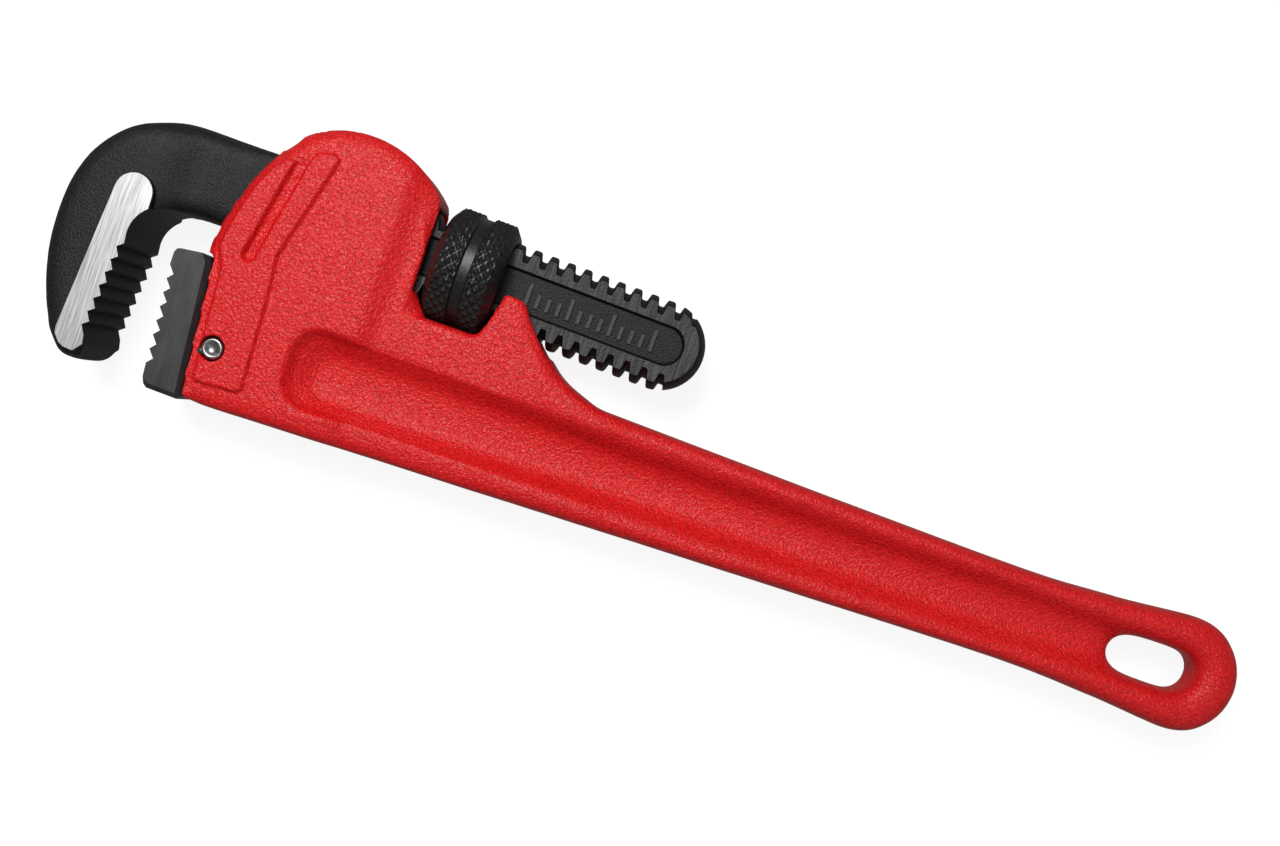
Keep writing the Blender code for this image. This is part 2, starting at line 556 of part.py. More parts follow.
def make_hook_jaw(shank):
    """Forged hook jaw: head, neck and the flattened, threaded shank in one piece."""
    bite_top = Vector((-66.5, 14.0))
    bite_bottom = Vector((-68.45, -8.9))
    back = smooth([(-74.6, -14.0), (-80.2, -6.3), (-84.9, 8.3), (-85.5, 18.0), (-83.7, 29.8),
                   (-76.6, 40.0), (-67.0, 44.9), (-60.0, 46.0)], 5)
    bite = teeth(bite_top, bite_bottom, HOOK_TEETH, -TOOTH_DEPTH, 0.38)
    throat_centre = (-58.3, 16.9)
    throat = arc(throat_centre, THROAT_RADIUS, 97.5, 180, 7)
    neck_top = Vector((NECK_FROM, 46.1))
    outline = back + [neck_top] + throat + bite + [(-68.2, -11.4), (-69.6, -14.5), (-71.0, -15.1)]
    bm = prism(in_shank_frame(outline), HEAD_HALF)
    bm.verts.ensure_lookup_table()
    count = len(outline)
    rim = set(range(len(back)))
    rim |= {i + count for i in rim}
    edges = [e for e in bm.edges if {e.verts[0].index, e.verts[1].index} <= rim
             and abs(e.verts[0].co.z - e.verts[1].co.z) < 1e-6]
    bmesh.ops.recalc_face_normals(bm, faces=bm.faces)
    bmesh.ops.bevel(bm, geom=edges, offset=HEAD_ROUND * MM, offset_type="OFFSET", segments=2,
                    profile=0.5, affect="EDGES", material=-1)
    head = make_object("hook_jaw", bm, shank)

    neck_from = in_shank_frame([(NECK_FROM, 0)])[0].x - 1.6
    h = NECK_HALF_HEIGHT
    neck = [(neck_from, -h), (NECK_FROM + NECK_LENGTH, -h), (NECK_FROM + NECK_LENGTH, h),
            (neck_from, h)]
    combine(head, make_object("neck", prism(neck, NECK_HALF), shank), "UNION")
    plain_to = THREAD_FROM + 2
    plain = [(neck_from + 0.7, -h + 0.1), (plain_to, -h + 0.1), (plain_to, h - 0.1),
             (neck_from + 0.7, h - 0.1)]
    combine(head, make_object("plain_shank", prism(plain, SHANK_HALF - 0.05), shank), "UNION")

    phase = math.floor(THREAD_FROM / THREAD_PITCH) - 2
    turns = math.ceil((SHANK_DOME + SHANK_RADIUS - phase * THREAD_PITCH) / THREAD_PITCH) + 2
    thread = make_object("thread", screw(SHANK_RADIUS - THREAD_DEPTH, SHANK_RADIUS, THREAD_ROOT,
                                         THREAD_CREST, phase * THREAD_PITCH, turns), shank)
    dome = [(THREAD_FROM - 9, 0), (THREAD_FROM - 9, SHANK_RADIUS + 1),
            (SHANK_DOME, SHANK_RADIUS + 1)]
    dome += [(SHANK_DOME + SHANK_RADIUS * math.sin(a), SHANK_RADIUS * math.cos(a))
             for a in (math.radians(6 + 14 * i) for i in range(6))]
    dome += [(SHANK_DOME + SHANK_RADIUS, 0)]
    flats = [(THREAD_FROM, -20), (90, -20), (90, 20), (THREAD_FROM, 20)]
    bar = make_object("bar", prism(flats, SHANK_HALF), shank)
    combine(bar, make_object("round_end", turned(dome, 30), shank), "INTERSECT")
    combine(thread, bar, "INTERSECT")
    combine(head, thread, "UNION")

    panel = stadium(((PANEL_FROM + PANEL_TO) / 2, 0), PANEL_TO - PANEL_FROM + 2 * PANEL_HALF,
                    2 * PANEL_HALF, 6)
    for side, label in ((1, "upper"), (-1, "lower")):
        bm = prism(panel, side * (SHANK_HALF - PANEL_DEPTH), side * (SHANK_HALF + 2))
        combine(head, make_cutter("panel_" + label, bm, shank), "DIFFERENCE")
    paint(head, (0.03, 0.03, 0.032), 0.45, 0.6)


def make_empty(name, parent, place=(0, 0), tilt=0.0):
    """A frame that pieces hang from."""
    empty = bpy.data.objects.new(name, None)
    bpy.context.scene.collection.objects.link(empty)
    empty.parent = parent
    empty.location = (place[0] * MM, place[1] * MM, 0)
    empty.rotation_euler = (0, 0, tilt)
    return empty


def set_down(root):
    """Move the root so that the wrench stands on Z = 0, centred over the origin."""
    bpy.context.view_layer.update()
    graph = bpy.context.evaluated_depsgraph_get()
    corners = []
    for obj in bpy.context.scene.objects:
        if obj.type in {"MESH", "CURVE"} and not obj.hide_render:
            shown = obj.evaluated_get(graph)
            mesh = shown.to_mesh()
            corners += [shown.matrix_world @ v.co for v in mesh.vertices]
            shown.to_mesh_clear()
    low = [min(c[i] for c in corners) for i in range(3)]
    high = [max(c[i] for c in corners) for i in range(3)]
    root.location = (-(low[0] + high[0]) / 2, -(low[1] + high[1]) / 2, -low[2])


for leftover in list(bpy.data.objects):
    bpy.data.objects.remove(leftover, do_unlink=True)

wrench = make_empty("wrench", None)
rock_axis = make_empty("rock_axis", wrench, PIVOT)
shank_axis = make_empty("shank_axis", rock_axis, tilt=-AXIS_TILT)
make_casting(wrench)
make_heel_jaw(wrench)
make_springs(wrench, rock_axis)
make_nut(shank_axis)
make_hook_jaw(shank_axis)
set_down(wrench)
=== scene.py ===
"""Looks of the straight pipe wrench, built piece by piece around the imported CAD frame."""
import math

import bmesh
import bpy
from mathutils import Matrix, Vector


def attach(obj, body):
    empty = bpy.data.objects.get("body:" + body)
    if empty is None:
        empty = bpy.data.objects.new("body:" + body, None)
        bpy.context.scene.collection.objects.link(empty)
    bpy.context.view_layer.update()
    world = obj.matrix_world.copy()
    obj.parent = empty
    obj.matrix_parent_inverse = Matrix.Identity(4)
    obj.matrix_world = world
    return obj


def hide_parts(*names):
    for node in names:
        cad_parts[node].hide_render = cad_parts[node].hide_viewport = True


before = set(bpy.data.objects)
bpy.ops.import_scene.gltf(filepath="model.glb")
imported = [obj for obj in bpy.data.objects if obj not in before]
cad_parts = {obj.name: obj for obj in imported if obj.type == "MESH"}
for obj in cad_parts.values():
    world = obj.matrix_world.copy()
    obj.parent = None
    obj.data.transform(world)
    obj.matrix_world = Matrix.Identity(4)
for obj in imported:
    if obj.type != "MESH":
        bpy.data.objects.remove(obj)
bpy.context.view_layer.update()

# Handle and housing: one iron casting with the sand mould's rough skin, its outer edges well
# rounded and its webs sunk, under thick red enamel.  Two grooved pads are raised on its cheeks.
# Sizes are millimetres from the window's front wall, the handle's centre line and the mid-plane.
ORIGIN = Vector((-0.0634352, -0.0209335, 0.0144))
WRENCH = Matrix.Translation(ORIGIN) @ Matrix.Scale(0.001, 4)
SKIN_SIZE = 0.00073
CHEEK = 11.2
CROWN_CENTRE = Vector((-20.8, 30.7))
CROWN_FROM = 19
CROWN_TO = 3
CROWN_EASE = 1.0
CROWN_CORNER = Vector((-1, 1))
CORNER_EASE = 0.6
CORNER_SPREAD = 16
WAY_HALF = 7.6
WAY_TOP = 46.7
PIN_PLACE = Vector((-39.1, -2.2))
PIN_RIM = 4.4
PAD = [(-43.2, 15.5), (-45.4, 21.0), (-44.8, 26.5), (-42.4, 36.0), (-39.4, 42.0), (-37.0, 44.8),
       (-34.8, 45.0), (-32.6, 45.2), (-30.6, 48.3), (-27.4, 49.4), (-25.4, 48.6), (-25.8, 46.4),
       (-31.8, 23.0), (-30.6, 10.0), (-29.6, -9.0), (-30.4, -10.0), (-40.6, -10.6), (-41.3, -9.8)]
PAD_RISE = 1.0
GROOVE = [(-38.2, 20.8), (-33.0, 47.5)]
GROOVE_HALF = 1.5
GROOVE_DEEP = 0.45
SHOULDER_DROP = 0.075
WEB_RIM = 8.6
SCOOP_FILL = 0.45
AXIS_HEIGHT = 34.6
NUT_CORNER = Vector((2.9, 13.2))
NUT_BEVEL = Vector((-0.77, 0.64))
NUT_PLAY = 0.5
POCKET_FILL = 0.42
LUG_MIDDLE = 22.0
LUG_SPREAD = 5.2
LUG_RISE = 2.9
LUG_CAP = 30.7
LUG_ROUND = 1.5
END_SWELL = 0.05
END_STRETCH = 1.5
END_CENTRE = 199.3
RAIL_ZONES = (28, 36, 44, 54, 66)
UPPER_EDGE = [(18, 31.8), (22, 31.8), (28, 28.5), (38, 18.6), (49, 13.9), (107, 12.2), (158, 11.1),
              (177, 11.9), (END_CENTRE, 13.2)]
LOWER_EDGE = [(-44, -15.9), (107, -12.3), (158, -11.1), (181, -12.2), (END_CENTRE, -13.2)]
ENAMEL_RED = (0.70, 0.010, 0.011, 1)
# Darker red painted into the enamel's wrinkle hollows as painted shade
ENAMEL_SHADED_RED = (0.50, 0.004, 0.006, 1)


def new_piece(name, bm, place=None):
    """A mesh object at the origin, with its place in its mesh."""
    if place:
        bmesh.ops.transform(bm, verts=bm.verts, matrix=place)
    mesh = bpy.data.meshes.new(name)
    bm.to_mesh(mesh)
    bm.free()
    piece = bpy.data.objects.new(name, mesh)
    bpy.context.scene.collection.objects.link(piece)
    return piece


def set_shape(piece):
    """Make what the modifiers give the piece's own mesh."""
    bpy.context.view_layer.update()
    shown = piece.evaluated_get(bpy.context.evaluated_depsgraph_get())
    mesh = bpy.data.meshes.new_from_object(shown)
    piece.modifiers.clear()
    piece.data = mesh


def knead(piece, size):
    """Give a piece an even skin of small faces, so that its edges can be rubbed round."""
    skin = piece.modifiers.new("skin", "REMESH")
    skin.mode = "VOXEL"
    skin.voxel_size = size
    set_shape(piece)


def rub(bm, passes, where):
    """Rub the surface round wherever where(point in millimetres) holds."""
    worn = [v for v in bm.verts if where((v.co - ORIGIN) * 1000)]
    for _ in range(passes):
        bmesh.ops.smooth_vert(bm, verts=worn, factor=0.5, use_axis_x=True, use_axis_y=True,
                              use_axis_z=True)


def height_of(edge, x):
    """Height of an edge line at x, straight between its points."""
    for (x0, y0), (x1, y1) in zip(edge, edge[1:]):
        if x <= x1:
            return y0 + (y1 - y0) * (x - x0) / (x1 - x0)
    return edge[-1][1]


def finish_smooth(piece, angle):
    """Shade smooth, with edges sharper than the angle left crisp."""
    piece.data.shade_smooth()
    piece.data.set_sharp_from_angle(angle=math.radians(angle))


def new_material(name, base, roughness, metallic):
    """A material with its shader's plain values set; returns it, its nodes and its links."""
    material = bpy.data.materials.new(name)
    material.use_nodes = True
    nodes = material.node_tree.nodes
    shader = nodes["Principled BSDF"]
    shader.inputs["Base Color"].default_value = base
    shader.inputs["Roughness"].default_value = roughness
    shader.inputs["Metallic"].default_value = metallic
    return material, nodes, material.node_tree.links


def add_bump(nodes, links, height, depth):
    """Let a height shape the shader's normal, to a depth in metres."""
    bump = nodes.new("ShaderNodeBump")
    bump.inputs["Distance"].default_value = depth
    links.new(height, bump.inputs["Height"])
    links.new(bump.outputs["Normal"], nodes["Principled BSDF"].inputs["Normal"])


def add_mix(nodes, links, factor, first, second):
    """A colour between two, by a mask that changes over the surface."""
    mix = nodes.new("ShaderNodeMix")
    mix.data_type = "RGBA"
    links.new(factor, mix.inputs["Factor"])
    for socket, value in ((mix.inputs["A"], first), (mix.inputs["B"], second)):
        if isinstance(value, tuple):
            socket.default_value = value
        else:
            links.new(value, socket)
    return mix.outputs["Result"]


def is_machined(p):
    """The seat of the heel jaw and the rim of its pin's hole stay as cut."""
    seat = -42.8 - (p.y + 13.8) * 0.096
    on_seat = p.y < 18.9 and p.x < seat + 0.9
    return on_seat or (p.xy - PIN_PLACE).length < PIN_RIM


def is_outer_rim(p):
    """The well rounded outer edges of the housing, the beam and the hanging end."""
    if is_machined(p) or abs(p.z) < 4.5:
        return False
    if p.x > END_CENTRE:
        return math.hypot(p.x - END_CENTRE, p.y) > 8.8
    if p.y < height_of(LOWER_EDGE, p.x) + 5:
        return True
    if p.x < 2 and p.y > CROWN_FROM:
        return abs(p.z) > 8.6 and (p.xy - CROWN_CENTRE).length > 21.5
    return p.x > 17 and p.y > height_of(UPPER_EDGE, p.x) - 5


def is_padded(p):
    """The part of each cheek that the raised pad and its groove lie in."""
    return abs(p.z) > 10.4 and -47 < p.x < -23 and -12 < p.y < 51


def is_web(p):
    """The sunk sides of the beam with their slopes."""
    return p.x > -26 and abs(p.z) < 9.3 and abs(p.y) < height_of(UPPER_EDGE, max(p.x, 49)) - 2.4


def is_beam(p):
    """The beam's web and rails, but not the middle of the web's thickness."""
    return p.x > RAIL_ZONES[0] and p.y < height_of(UPPER_EDGE, 49) and abs(p.z) > 2.6


def step_up(value, low, high):
    """0 below low, 1 above high, and a smooth rise between."""
    t = min(max((value - low) / (high - low), 0), 1)
    return t * t * (3 - 2 * t)


def edge_distance(point, start, end):
    """Distance from a point to the straight line between two others."""
    start, along = Vector(start), Vector(end) - Vector(start)
    share = min(max((point - start).dot(along) / along.length_squared, 0), 1)
    return (point - start - along * share).length


def depth_inside(point, outline):
    """Distance from a point to an outline, positive inside it."""
    inside = False
    nearest = 99.0
    for (x0, y0), (x1, y1) in zip(outline, outline[1:] + outline[:1]):
        nearest = min(nearest, edge_distance(point, (x0, y0), (x1, y1)))
        if (y0 > point.y) != (y1 > point.y) and point.x < x0 + (point.y - y0) * (x1 - x0) / (y1 - y0):
            inside = not inside
    return nearest if inside else -nearest


def fill_pocket(p):
    """Bring the cast pocket up to the nut: a fillet at its front bevel and a higher floor."""
    radius = math.hypot(p.y - AXIS_HEIGHT, p.z)
    if not (-1 < p.x < 18.5 and p.y < 25 and radius < 18):
        return
    share = 1 - step_up(abs(p.z), 6.5, 9.5)
    gap = (Vector((p.x, radius)) - NUT_CORNER).dot(NUT_BEVEL)
    closer = POCKET_FILL * share
    if NUT_PLAY < gap < 4 and p.x < 4.5:
        closer = max(closer, (gap - NUT_PLAY) * NUT_BEVEL.y * share)
        p.x += (gap - NUT_PLAY) * -NUT_BEVEL.x * share
    axis = Vector((AXIS_HEIGHT, 0))
    p.yz = axis + (p.yz - axis) * (1 - closer / radius)


def ease_crown(p):
    """Draw the crown in a little, most at its front corner, clear of the shank's way below it."""
    if p.x >= CROWN_TO or p.y <= CROWN_FROM:
        return
    radius = (p.xy - CROWN_CENTRE).length
    corner = math.degrees((p.xy - CROWN_CENTRE).angle_signed(CROWN_CORNER)) / CORNER_SPREAD
    ease = CROWN_EASE * (1 + CORNER_EASE * math.exp(-corner * corner))
    clear_of_way = step_up(max(abs(p.z) - WAY_HALF, p.y - WAY_TOP), 0, 1.2)
    inward = ease * step_up(radius, 15, 25) * step_up(p.y, CROWN_FROM, 38) / radius
    p.x -= (p.x - CROWN_CENTRE.x) * inward
    p.y -= (p.y - CROWN_CENTRE.y) * inward * clear_of_way


def cheek_relief(point):
    """Height of the pads and grooves above the cheek."""
    inside = depth_inside(point, PAD)
    groove = step_up(GROOVE_HALF - edge_distance(point, *GROOVE), -0.40, 0.60)
    rise = PAD_RISE * step_up(inside, -0.30, 0.45) * (1 - groove)
    return rise - GROOVE_DEEP * groove * step_up(inside, -1.5, 0.8)


def shape_sides(p):
    """Raise the pads, let the shoulder fall towards the beam and fill the web's front end."""
    side = math.copysign(1, p.z)
    if abs(p.z) > 9 and p.x < -20:
        p.z = side * (min(abs(p.z), CHEEK) + cheek_relief(p.xy) * step_up(abs(p.z), 9.4, 10.8))
    p.z *= 1 - SHOULDER_DROP * step_up(p.x, -9.8, -3.8) * (1 - 0.6 * step_up(p.x, 5, 50))
    if is_web(p) and abs(p.z) < WEB_RIM:
        p.z += side * (WEB_RIM - abs(p.z)) * SCOOP_FILL * (1 - step_up(p.x, -5, 80))


def blunt_lug(p):
    """Fill out the tip of the lug behind the nut, which the rubbing took down, and round it."""
    if p.x > 14 and p.y > 24:
        p.y += LUG_RISE * math.exp(-((p.x - LUG_MIDDLE) / LUG_SPREAD) ** 4) * step_up(p.y, 23, 31)
        over = max(p.y - LUG_CAP, 0)
        p.y -= over - LUG_ROUND * (1 - math.exp(-over / LUG_ROUND))


casting_skin = bmesh.new()
casting_skin.from_mesh(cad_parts["handle_housing"].data)
bmesh.ops.remove_doubles(casting_skin, verts=casting_skin.verts, dist=1e-6)
casting = new_piece("casting", casting_skin)
knead(casting, SKIN_SIZE)
casting_skin = bmesh.new()
casting_skin.from_mesh(casting.data)
rub(casting_skin, 3, lambda p: not is_machined(p))
rub(casting_skin, 45, is_outer_rim)
rub(casting_skin, 46, is_web)
for start in RAIL_ZONES:
    rub(casting_skin, 9, lambda p: p.x > start and is_beam(p))
rub(casting_skin, 10, lambda p: p.x > 180)
carved = [e for e in casting_skin.edges if all(is_padded((v.co - ORIGIN) * 1000) for v in e.verts)]
bmesh.ops.subdivide_edges(casting_skin, edges=carved, cuts=1, use_grid_fill=True)
for vert in casting_skin.verts:
    p = (vert.co - ORIGIN) * 1000
    ease_crown(p)
    shape_sides(p)
    fill_pocket(p)
    blunt_lug(p)
    p.y *= 1 + END_SWELL * step_up(p.x, 178, 200)
    p.x += END_STRETCH * step_up(p.x, 150, 212)
    vert.co = p * 0.001 + ORIGIN
casting_skin.to_mesh(casting.data)
casting_skin.free()
finish_smooth(casting, 50)

enamel, nodes, links = new_material("red_enamel", ENAMEL_RED, 0.36, 0.0)
place = nodes.new("ShaderNodeTexCoord").outputs["Object"]
wrinkle = nodes.new("ShaderNodeTexNoise")
wrinkle.inputs["Scale"].default_value = 1500
wrinkle.inputs["Detail"].default_value = 1.5
wrinkle.inputs["Roughness"].default_value = 0.55
wrinkle.inputs["Distortion"].default_value = 0.5
links.new(place, wrinkle.inputs["Vector"])
# Painted shade: where the wrinkle noise is low, in the hollows of the same noise that bumps the enamel,
# the red is painted darker
hollow_shade = nodes.new("ShaderNodeMapRange")
hollow_shade.inputs["From Min"].default_value = 0.36
hollow_shade.inputs["From Max"].default_value = 0.60
links.new(wrinkle.outputs["Fac"], hollow_shade.inputs["Value"])
red = add_mix(nodes, links, hollow_shade.outputs["Result"], ENAMEL_SHADED_RED, ENAMEL_RED)
links.new(red, nodes["Principled BSDF"].inputs["Base Color"])
add_bump(nodes, links, wrinkle.outputs["Fac"], 0.00040)
nodes["Principled BSDF"].inputs["Specular IOR Level"].default_value = 0.30
casting.data.materials.clear()
casting.data.materials.append(enamel)
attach(casting, "handle")
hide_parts("handle_housing")


# Heel-jaw pin: a short turned steel pin through both cheeks, its ends dimpled in a lathe, with a
# small punched nub beside it that keeps it from creeping out.
PIN_RING = [(0, 10.95), (0.7, 11.0), (1.2, 11.25), (1.6, 11.62), (1.95, 11.75), (2.3, 11.68),
            (2.58, 11.35), (2.68, 10.9)]
NUB_RING = [(0, 11.9), (0.5, 11.8), (0.85, 11.4), (0.9, 11.0), (0.9, 10.4), (0, 10.4)]
NUB_PLACE = Vector((-41.45, -3.5, 0))


def turn(profile, steps, axis="Z"):
    """A turned body from (radius, height) points that start and end on the axis."""
    bm = bmesh.new()
    verts = [bm.verts.new((radius, 0, height)) for radius, height in profile]
    edges = [bm.edges.new(pair) for pair in zip(verts, verts[1:])]
    bmesh.ops.spin(bm, geom=verts + edges, cent=(0, 0, 0), axis=(0, 0, 1), angle=2 * math.pi,
                   steps=steps, use_merge=True)
    bmesh.ops.remove_doubles(bm, verts=bm.verts, dist=1e-5)
    if axis == "X":
        bmesh.ops.rotate(bm, verts=bm.verts, cent=(0, 0, 0), matrix=Matrix.Rotation(math.pi / 2, 3, "Y"))
    bmesh.ops.recalc_face_normals(bm, faces=bm.faces)
    return bm


def new_metal(name, colours, roughness, metallic, grain, stretch, depth):
    """Steel whose grain of the given size runs along the axis with the smallest stretch; returns
    the material, its nodes, its links and the grain's group."""
    material, nodes, links = new_material(name, colours[0], roughness, metallic)
    place = nodes.new("ShaderNodeTexCoord").outputs["Object"]
    skin = nodes.new("ShaderNodeGroup")
    skin.node_tree = steel_skin
    skin.inputs["Size"].default_value = grain
    skin.inputs["Stretch"].default_value = stretch
    links.new(place, skin.inputs["Place"])
    colour = add_mix(nodes, links, skin.outputs["Patches"], colours[0], colours[1])
    links.new(colour, nodes["Principled BSDF"].inputs["Base Color"])
    add_bump(nodes, links, skin.outputs["Grain"], depth)
    return material, nodes, links, skin


steel_skin = bpy.data.node_groups.new("steel_skin", "ShaderNodeTree")
for socket_name, kind in (("Place", "NodeSocketVector"), ("Stretch", "NodeSocketVector"),
                          ("Size", "NodeSocketFloat")):
    steel_skin.interface.new_socket(name=socket_name, in_out="INPUT", socket_type=kind)
for socket_name in ("Grain", "Patches"):
    steel_skin.interface.new_socket(name=socket_name, in_out="OUTPUT", socket_type="NodeSocketFloat")
skin_in = steel_skin.nodes.new("NodeGroupInput")
skin_out = steel_skin.nodes.new("NodeGroupOutput")
drawn = steel_skin.nodes.new("ShaderNodeVectorMath")
drawn.operation = "MULTIPLY"
steel_skin.links.new(skin_in.outputs["Place"], drawn.inputs[0])
steel_skin.links.new(skin_in.outputs["Stretch"], drawn.inputs[1])
fine = steel_skin.nodes.new("ShaderNodeTexNoise")
fine.inputs["Detail"].default_value = 3
steel_skin.links.new(drawn.outputs["Vector"], fine.inputs["Vector"])
steel_skin.links.new(skin_in.outputs["Size"], fine.inputs["Scale"])
spread = steel_skin.nodes.new("ShaderNodeMapRange")
spread.inputs["From Min"].default_value = 0.35
spread.inputs["From Max"].default_value = 0.70
steel_skin.links.new(fine.outputs["Fac"], spread.inputs["Value"])
steel_skin.links.new(fine.outputs["Fac"], skin_out.inputs["Grain"])
steel_skin.links.new(spread.outputs["Result"], skin_out.inputs["Patches"])

profile = PIN_RING + [(r, -z) for r, z in reversed(PIN_RING)]
pin = new_piece("heel_pin", turn(profile, 48), WRENCH @ Matrix.Translation((*PIN_PLACE, 0)))
finish_smooth(pin, 40)
pin_metal = new_metal("pin_steel", [(0.20, 0.20, 0.20, 1), (0.42, 0.42, 0.42, 1)], 0.32, 1.0, 700,
                      (1, 1, 1), 0.00004)[0]
pin.data.materials.append(pin_metal)
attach(pin, "handle")
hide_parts("heel_jaw_pin")

nub_shape = turn(NUB_RING, 24)
whole = nub_shape.verts[:] + nub_shape.edges[:] + nub_shape.faces[:]
nub_copy = bmesh.ops.duplicate(nub_shape, geom=whole)
mirrored = [g for g in nub_copy["geom"] if isinstance(g, bmesh.types.BMVert)]
bmesh.ops.scale(nub_shape, verts=mirrored, vec=(1, 1, -1))
bmesh.ops.recalc_face_normals(nub_shape, faces=nub_shape.faces)
nub = new_piece("pin_nub", nub_shape, WRENCH @ Matrix.Translation(NUB_PLACE))
finish_smooth(nub, 50)
nub_metal = new_metal("nub_steel", [(0.05, 0.05, 0.05, 1), (0.12, 0.12, 0.12, 1)], 0.45, 0.8, 900,
                      (1, 1, 1), 0.00004)[0]
nub.data.materials.append(nub_metal)
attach(nub, "handle")

# Heel jaw: a milled and hardened block, dark from heat treatment, its back edges chamfered.  It
# sits on the housing's seat and the pin holds its tenon between the cheeks.
HEEL_HALF = 10.5
HEEL_BACK = [(-55.15, 16.0), (-54.7, 17.0), (-53.9, 17.3), (-48.9, 17.95), (-47.2, 17.6),
             (-46.35, 16.6), (-43.1, -15.2), (-43.9, -16.1), (-51.4, -15.9), (-52.3, -15.2),
             (-52.7, -12.6)]
HEEL_TIPS = [(-55.1, 13.0), (-52.9, -10.3)]
HEEL_TEETH = 8
TOOTH_DEPTH = 1.35
JAW_DARK = [(0.021, 0.021, 0.022, 1), (0.040, 0.040, 0.041, 1)]


def saw_line(start, end, count, depth, lean):
    """Tooth tips and roots in turn; the roots lie to the left of travel."""
    start, end = Vector(start), Vector(end)
    step = (end - start) / (count - 1)
    inward = Vector((-step.y, step.x)).normalized() * depth
    line = []
    for i in range(count - 1):
        line += [tuple(start + step * i), tuple(start + step * (i + lean) + inward)]
    return line + [tuple(end)]


def slab(outline, low, high):
    """An outline given thickness."""
    bm = bmesh.new()
    face = bm.faces.new([bm.verts.new((x, y, low)) for x, y in outline])
    grown = bmesh.ops.extrude_face_region(bm, geom=[face])
    top = [g for g in grown["geom"] if isinstance(g, bmesh.types.BMVert)]
    bmesh.ops.translate(bm, verts=top, vec=(0, 0, high - low))
    bmesh.ops.recalc_face_normals(bm, faces=bm.faces)
    return bm


def ease(bm, edges, width, segments):
    """Bevel edges to a width in millimetres."""
    bmesh.ops.bevel(bm, geom=edges, offset=width, offset_type="OFFSET", segments=segments,
                    profile=0.5, affect="EDGES", material=-1)


def work(piece, tool, operation, solver="EXACT"):
    """Cut, join or keep with another solid, make the result the piece's own, drop the tool."""
    step = piece.modifiers.new("work", "BOOLEAN")
    step.operation = operation
    step.solver = solver
    step.object = tool
    set_shape(piece)
    bpy.data.objects.remove(tool, do_unlink=True)


heel_outline = HEEL_BACK + list(reversed(saw_line(*HEEL_TIPS, HEEL_TEETH, TOOTH_DEPTH, 0.62)))
heel_shape = slab(heel_outline, -HEEL_HALF, HEEL_HALF)
rims = [e for e in heel_shape.edges if abs(e.verts[0].co.z - e.verts[1].co.z) < 0.1]
back_rims = [e for e in rims if all(v.co.x > -47.3 + 0.2 * (17 - v.co.y) or v.co.y < -14.5
                                    or v.co.x > -44.5 for v in e.verts)]
other_rims = [e for e in rims if e not in back_rims]
ease(heel_shape, back_rims, 1.2, 1)
ease(heel_shape, [e for e in other_rims if e.is_valid], 0.14, 1)
heel = new_piece("heel_jaw_block", heel_shape, WRENCH)
tenon = slab([(-48, -9.2), (-31, -9.2), (-31, 4.8), (-48, 4.8)], -4.5, 4.5)
work(heel, new_piece("tenon", tenon, WRENCH), "UNION")
bore = turn([(0, 15), (3.05, 15), (3.05, -15), (0, -15)], 40)
work(heel, new_piece("bore", bore, WRENCH @ Matrix.Translation((*PIN_PLACE, 0))), "DIFFERENCE")
finish_smooth(heel, 25)
heel_metal = new_metal("heel_jaw_steel", JAW_DARK, 0.42, 0.35, 500, (1, 0.25, 1), 0.00003)[0]
heel.data.materials.append(heel_metal)
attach(heel, "handle")
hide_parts("heel_jaw")

# Hook jaw: one drop forging, blackened and tumbled so that its head runs softly into the neck.
# The bite and throat are milled through it, a raised boss beside the teeth is ground bright, and
# the flattened shank carries a rolled thread, a sunk panel with raised ticks and a turned end.
SHANK_TILT = math.radians(-1.5)
SHANK = (Matrix.Translation(ORIGIN + Vector((0, AXIS_HEIGHT * 0.001, 0)))
         @ Matrix.Rotation(SHANK_TILT, 4, "Z") @ Matrix.Scale(0.001, 4))
FORGING_SIZE = 0.00078
HEAD_HALF = 10.6
BOSS_HALF = 11.0
HEAD_BACK = [(-70.4, -15.9), (-74.4, -14.7), (-78.0, -10.6), (-80.8, -5.6), (-83.2, 1.0), (-84.9, 8.3),
             (-85.5, 17.0), (-84.9, 25.0), (-82.9, 31.6), (-80.2, 36.0), (-76.4, 40.2), (-71.8, 43.3),
             (-66.8, 45.2), (-60.0, 46.3), (-50.0, 46.4)]
HEAD_FRONT = [(-50.0, 25.4), (-60.0, 25.6), (-63.5, 20.0), (-63.0, 14.0), (-65.0, -9.0),
              (-66.6, -14.0)]
NECK = [(-66.0, -10.3), (-35.4, -10.3), (-35.4, 10.3), (-66.0, 10.3)]
HEAD_FLARE = (-67.5, -56.5)
NECK_HALF = 7.0
NECK_REACH = 7.15
NECK_FROM = -56.9
NECK_FLARE = 0.35
PLAIN_SHANK = [(-44.0, -9.8), (-11.0, -9.8), (-11.0, 9.8), (-44.0, 9.8)]
BOSS_TOP = (-68.4, 26.0)
BOSS_ROUND = 4.75
BOSS_SIDES = [(-75.4, -9.0), (-75.2, -10.6), (-73.6, -12.6), (-72.2, -13.3), (-69.6, -13.5),
              (-66.0, -9.0), (-63.0, 14.0), (-63.6, 24.5)]
THROAT_CENTRE = (-58.3, 16.9)
THROAT_RADIUS = 8.5
BITE_TIPS = [(-66.5, 14.0), (-68.45, -8.9)]
BITE_TEETH = 8
PITCH = 25.4 / 6
THREAD_FROM = -13
THREAD_ROOT = 8.75
THREAD_CREST = 10.8
SHANK_FLAT = 5.9
SHANK_END = 58.1
PANEL_HALF = 4.25
PANEL_MIDDLE = 26.5
PANEL_DRAFT = (1.056, 1.51, 1)
PANEL_FLOOR = 4.7
TICK_COUNT = 13
TICK_FROM = 25.0
TICK_PITCH = 2.6
TICK_FOOT = -2.6
TICK_SIZE = (0.85, 1.3)
TICK_MIDDLE = PANEL_FLOOR - 0.1
TICK_TOP = PANEL_FLOOR + 0.55
